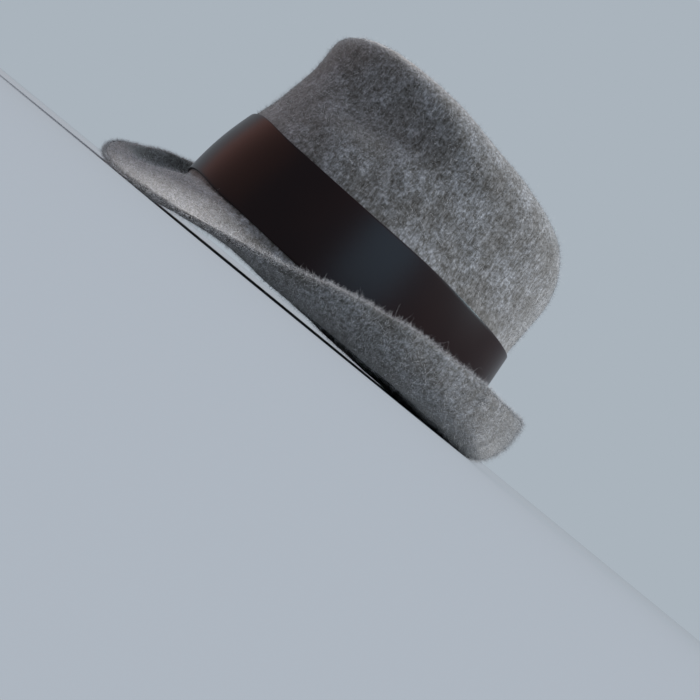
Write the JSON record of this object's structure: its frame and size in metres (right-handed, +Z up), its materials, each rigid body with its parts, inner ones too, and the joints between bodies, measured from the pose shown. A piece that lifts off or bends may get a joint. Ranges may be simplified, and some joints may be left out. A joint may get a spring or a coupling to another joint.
{
  "type": "fedora",
  "caption": "Thick felt fedora with a pinched crown, a brim that dips in front and rolls up at the sides and back, and a wide plain dark band.",
  "frame": {"origin": "on the surface that the hat rests on, under the middle of its length and width", "axes": "+Z up, -Y to the front of the hat, +X to the wearer's left"},
  "size_m": [0.2508, 0.2882, 0.144],
  "materials": {
    "felt": "matte, hairy wool felt in mottled mid grey",
    "band": "smooth satin, near black"
  },
  "bodies": {
    "root": {"felt_body": "felt", "hat_band": "band"}
  },
  "joints": []
}
